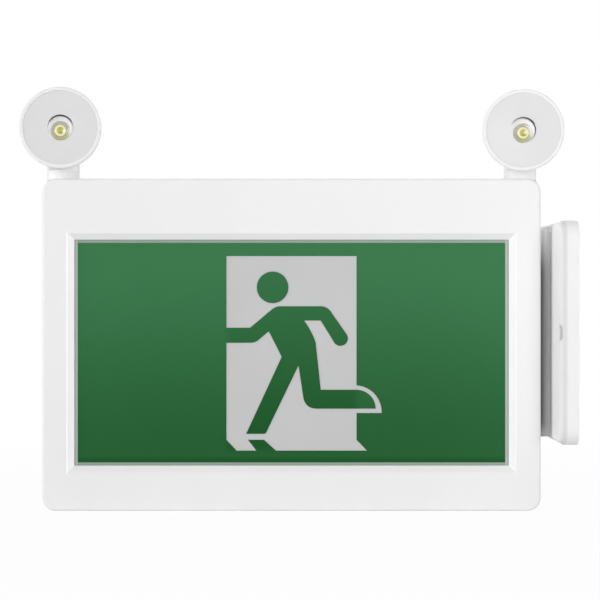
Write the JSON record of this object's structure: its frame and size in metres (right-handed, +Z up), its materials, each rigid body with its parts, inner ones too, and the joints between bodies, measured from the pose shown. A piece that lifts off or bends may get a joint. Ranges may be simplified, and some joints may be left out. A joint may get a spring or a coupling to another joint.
{
  "type": "emergency exit light",
  "caption": "Wall sign light with a green running-figure legend, swivelling round lamp heads on top and an end-on wall canopy.",
  "frame": {"origin": "middle of the sign's bottom face, at mid-width and mid-depth of the sign body", "axes": "+X towards the canopy, -Y out of the legend's face, +Z up"},
  "size_m": [0.3754, 0.112, 0.2885],
  "materials": {
    "shell_white": "fine moulded",
    "dish_white": "satin",
    "legend_green": "printed",
    "panel_opal": "opal",
    "box_white": "satin",
    "strip_board": "lacquered",
    "board_green": "lacquered",
    "lamp_board_white": "lacquered",
    "transformer_steel": "satin",
    "relay_blue": "moulded",
    "terminal_grey": "moulded",
    "socket_cream": "moulded",
    "capacitor_black": "sleeved",
    "battery_sleeve": "shrink sleeve",
    "spring_steel": "plain",
    "spacer_grey": "ribbed rubber",
    "switch_black": "moulded",
    "button_red": "moulded",
    "pilot_red": "clear moulded",
    "screw_zinc": "plated",
    "lamp_yellow": "silicone",
    "plate_steel": "galvanised"
  },
  "bodies": {
    "sign": {"front_frame": "shell_white", "rear_housing": "shell_white", "legend_sheet": "legend_green", "legend_head": "legend_green", "diffuser_panel": "panel_opal", "light_box": "box_white", "upper_lamp_strip": "strip_board", "lower_lamp_strip": "strip_board", "control_board": "board_green", "transformer": "transformer_steel", "relay": "relay_blue", "terminal_block": "terminal_grey", "battery_socket": "socket_cream", "board_capacitors": "capacitor_black", "battery_pack": "battery_sleeve", "battery_strap": "spring_steel", "test_switch": "switch_black", "pilot_lens": "pilot_red", "housing_screws": "screw_zinc", "entry_plug": "shell_white", "canopy_cover": "shell_white", "canopy_plate": "plate_steel", "canopy_stem": "plate_steel", "canopy_collar": "spacer_grey", "stem_nut": "plate_steel"},
    "test_button": {"test_button": "button_red"},
    "left_swivel": {"left_neck": "shell_white", "left_neck_clip": "spring_steel"},
    "left_lamp_head": {"left_head_shell": "shell_white", "left_head_dish": "dish_white", "left_lamp_board": "lamp_board_white", "left_lamp": "lamp_yellow", "left_tilt_pin": "screw_zinc"},
    "right_swivel": {"right_neck": "shell_white", "right_neck_clip": "spring_steel"},
    "right_lamp_head": {"right_head_shell": "shell_white", "right_head_dish": "dish_white", "right_lamp_board": "lamp_board_white", "right_lamp": "lamp_yellow", "right_tilt_pin": "screw_zinc"}
  },
  "joints": [
    {"name": "test_button_press", "type": "slide", "parent": "sign", "child": "test_button", "axis": [0, 0, 1], "range_m": [0, 0.0015], "stiffness_N_per_m": 600, "springref_m": -0.002},
    {"name": "left_pan", "type": "hinge", "parent": "sign", "child": "left_swivel", "pos_m": [-0.1588, -0.004, 0.2265], "axis": [0, 0, 1], "range_deg": [-165, 165]},
    {"name": "left_tilt", "type": "hinge", "parent": "left_swivel", "child": "left_lamp_head", "pos_m": [-0.1588, -0.004, 0.2609], "axis": [0.9976, 0.0698, 0], "range_deg": [-75, 14]},
    {"name": "right_pan", "type": "hinge", "parent": "sign", "child": "right_swivel", "pos_m": [0.1588, -0.004, 0.2265], "axis": [0, 0, 1], "range_deg": [-165, 165]},
    {"name": "right_tilt", "type": "hinge", "parent": "right_swivel", "child": "right_lamp_head", "pos_m": [0.1588, -0.004, 0.2609], "axis": [0.9987, -0.0506, 0], "range_deg": [-79, 10]}
  ]
}
